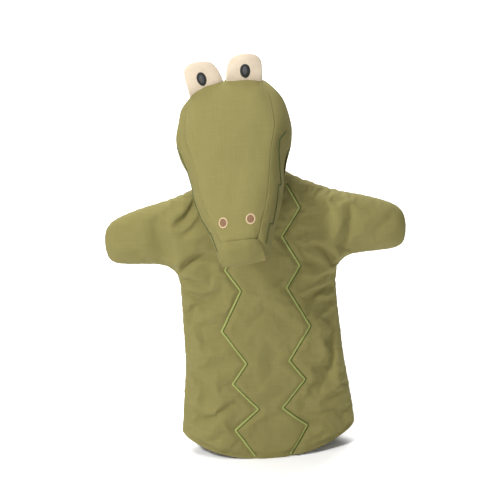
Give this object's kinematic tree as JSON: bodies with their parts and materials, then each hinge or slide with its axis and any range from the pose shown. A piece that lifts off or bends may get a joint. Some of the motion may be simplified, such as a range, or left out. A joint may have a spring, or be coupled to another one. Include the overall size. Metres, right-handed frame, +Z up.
{
  "type": "hand puppet",
  "caption": "Crocodile glove puppet in olive cloth: open hem for a hand, padded body and arms, long head with a hinged mouth, eye flaps and embroidered lines.",
  "frame": {"origin": "middle of the hem opening, level with the lowest point of the hem", "axes": "+Z up from the hem to the head, the face looks along -Y, +X to the right of someone facing the puppet"},
  "size_m": [0.212, 0.1096, 0.2872],
  "materials": {
    "olive_cloth": "matte",
    "wadding": "matte",
    "stuffing": "matte",
    "board": "matte",
    "lining": "matte",
    "mouth_lining": "matte",
    "green_thread": "satin",
    "cream_cloth": "matte",
    "grey_thread": "satin",
    "cream_thread": "satin",
    "brown_thread": "satin"
  },
  "bodies": {
    "torso": {"body_front": "olive_cloth", "body_back": "olive_cloth", "wadding_front": "wadding", "wadding_back": "wadding", "body_lining": "lining", "hem_band": "olive_cloth", "body_zigzag_left": "green_thread", "body_zigzag_right": "green_thread"},
    "neck": {"neck_tube": "olive_cloth"},
    "head": {"head_top": "olive_cloth", "head_side_left": "olive_cloth", "head_side_right": "olive_cloth", "snout_front": "olive_cloth", "head_back": "olive_cloth", "head_throat": "olive_cloth", "head_stuffing": "stuffing", "palate_lining": "mouth_lining", "palate_board": "board", "finger_pocket": "lining", "mouth_fold": "mouth_lining", "mouth_zigzag_left": "green_thread", "mouth_zigzag_right": "green_thread", "eye_left": "cream_cloth", "eye_right": "cream_cloth", "pupil_left": "grey_thread", "pupil_right": "grey_thread", "nostril_rings": "cream_thread", "nostril_fills": "brown_thread"},
    "jaw": {"jaw_cover": "olive_cloth", "jaw_stuffing": "stuffing", "jaw_lining": "mouth_lining", "jaw_board": "board", "thumb_pocket": "lining"},
    "arm_left": {"arm_left_front": "olive_cloth", "arm_left_back": "olive_cloth", "arm_left_stuffing": "stuffing"},
    "arm_right": {"arm_right_front": "olive_cloth", "arm_right_back": "olive_cloth", "arm_right_stuffing": "stuffing"}
  },
  "joints": [
    {"name": "neck_turn", "type": "hinge", "parent": "torso", "child": "neck", "pos_m": [-0.009, -0.002, 0.2345], "axis": [-0.1219, 0, 0.9925], "range_deg": [-15, 25], "stiffness_Nm_per_rad": 0.02},
    {"name": "head_nod", "type": "hinge", "parent": "neck", "child": "head", "pos_m": [-0.009, -0.002, 0.2345], "axis": [-0.9851, 0.1219, -0.121], "range_deg": [0, 55]},
    {"name": "jaw_open", "type": "hinge", "parent": "head", "child": "jaw", "pos_m": [-0.00855, -0.0297, 0.20292], "axis": [0.9851, -0.1219, 0.121], "range_deg": [0, 25], "stiffness_Nm_per_rad": 0.02, "springref_deg": -17.19},
    {"name": "arm_left_swing", "type": "hinge", "parent": "torso", "child": "arm_left", "pos_m": [-0.046, 0, 0.16], "axis": [0, 0, 1], "range_deg": [-10, 45], "stiffness_Nm_per_rad": 0.01},
    {"name": "arm_right_swing", "type": "hinge", "parent": "torso", "child": "arm_right", "pos_m": [0.046, 0, 0.16], "axis": [0, 0, -1], "range_deg": [-10, 45], "stiffness_Nm_per_rad": 0.01}
  ]
}
